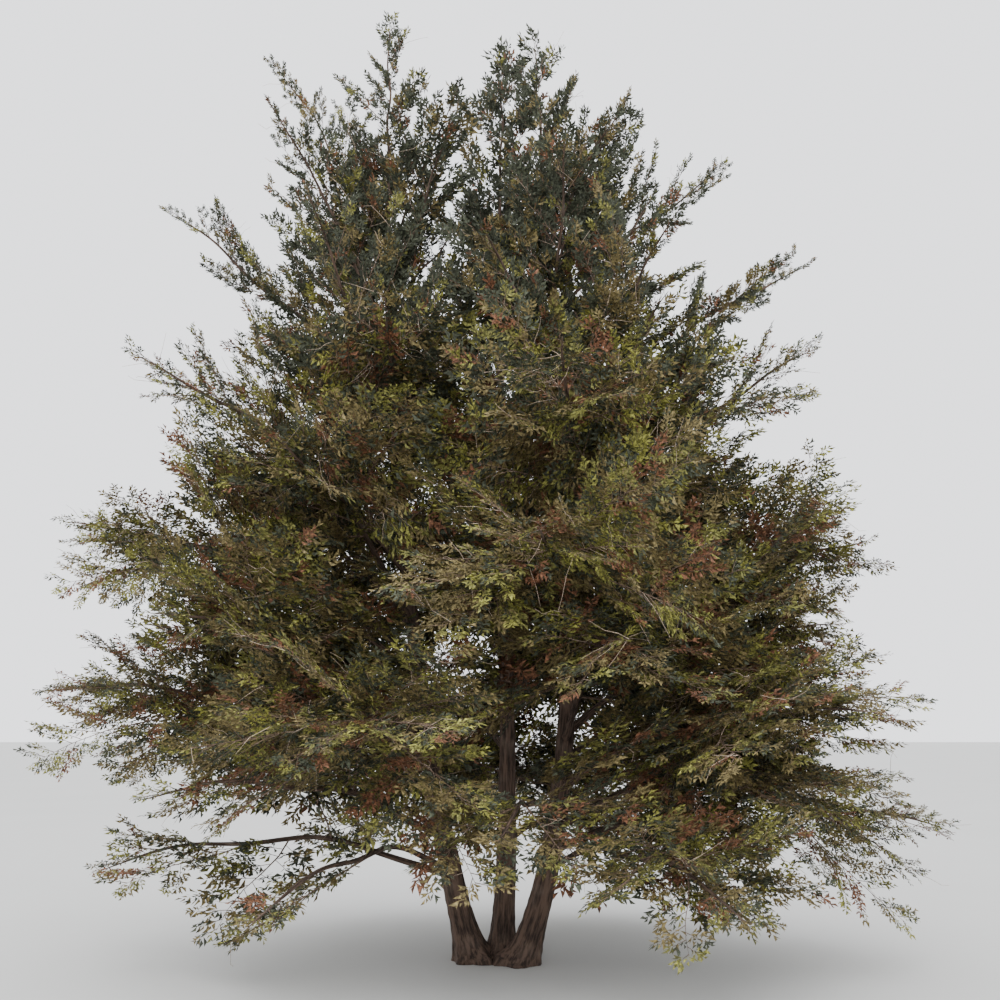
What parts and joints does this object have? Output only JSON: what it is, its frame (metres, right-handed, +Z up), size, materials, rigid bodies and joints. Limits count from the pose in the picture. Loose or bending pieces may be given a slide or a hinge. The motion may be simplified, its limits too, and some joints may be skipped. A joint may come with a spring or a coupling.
{
  "type": "multi-stemmed hinoki cypress tree",
  "caption": "Garden hinoki cypress with several stems from one root crown, rising plumes above, drooping fan sprays below, some browned",
  "frame": {"origin": "middle of the root crown's flat cut at ground level, below the fork of the three stems; it is the ground mount", "axes": "+Z up along the stems, +X to the tree's right as the picture shows it, +Y to its back; the front faces -Y"},
  "size_m": [6.6773, 5.5526, 7.5],
  "materials": {
    "bark": "rough fibrous bark in long peeling strips",
    "foliage": "matt scale-leaf sprays, deep green to olive, with rust-brown dead ones"
  },
  "bodies": {
    "root": {"root_crown": "bark", "stem_left": "bark", "stem_centre": "bark", "stem_right": "bark", "bough_skirt_1": "bark", "bough_skirt_2": "bark", "bough_skirt_3": "bark", "bough_skirt_4": "bark", "bough_skirt_5": "bark", "bough_skirt_6": "bark", "bough_lower_1": "bark", "bough_lower_2": "bark", "bough_lower_3": "bark", "bough_lower_4": "bark", "bough_lower_5": "bark", "bough_middle_1": "bark", "bough_middle_2": "bark", "bough_middle_3": "bark", "bough_middle_4": "bark", "bough_middle_5": "bark", "foliage_skirt_1": "foliage", "foliage_skirt_2": "foliage", "foliage_skirt_3": "foliage", "foliage_skirt_4": "foliage", "foliage_skirt_5": "foliage", "foliage_skirt_6": "foliage", "foliage_lower_1": "foliage", "foliage_lower_2": "foliage", "foliage_lower_3": "foliage", "foliage_lower_4": "foliage", "foliage_lower_5": "foliage", "foliage_middle_1": "foliage", "foliage_middle_2": "foliage", "foliage_middle_3": "foliage", "foliage_middle_4": "foliage", "foliage_middle_5": "foliage", "foliage_upper_1": "foliage", "foliage_upper_2": "foliage", "foliage_upper_3": "foliage", "foliage_upper_4": "foliage", "foliage_upper_5": "foliage", "foliage_shoulder_1": "foliage", "foliage_shoulder_2": "foliage", "foliage_shoulder_3": "foliage", "foliage_shoulder_4": "foliage", "foliage_shoulder_5": "foliage", "foliage_shoulder_6": "foliage", "foliage_plume_1": "foliage", "foliage_plume_2": "foliage", "foliage_plume_3": "foliage", "foliage_plume_4": "foliage", "foliage_plume_5": "foliage", "foliage_crest_1": "foliage", "foliage_crest_2": "foliage", "foliage_crest_3": "foliage", "foliage_crest_4": "foliage", "foliage_crest_5": "foliage", "foliage_leader_left": "foliage", "foliage_leader_centre": "foliage", "foliage_leader_right": "foliage"}
  },
  "joints": []
}
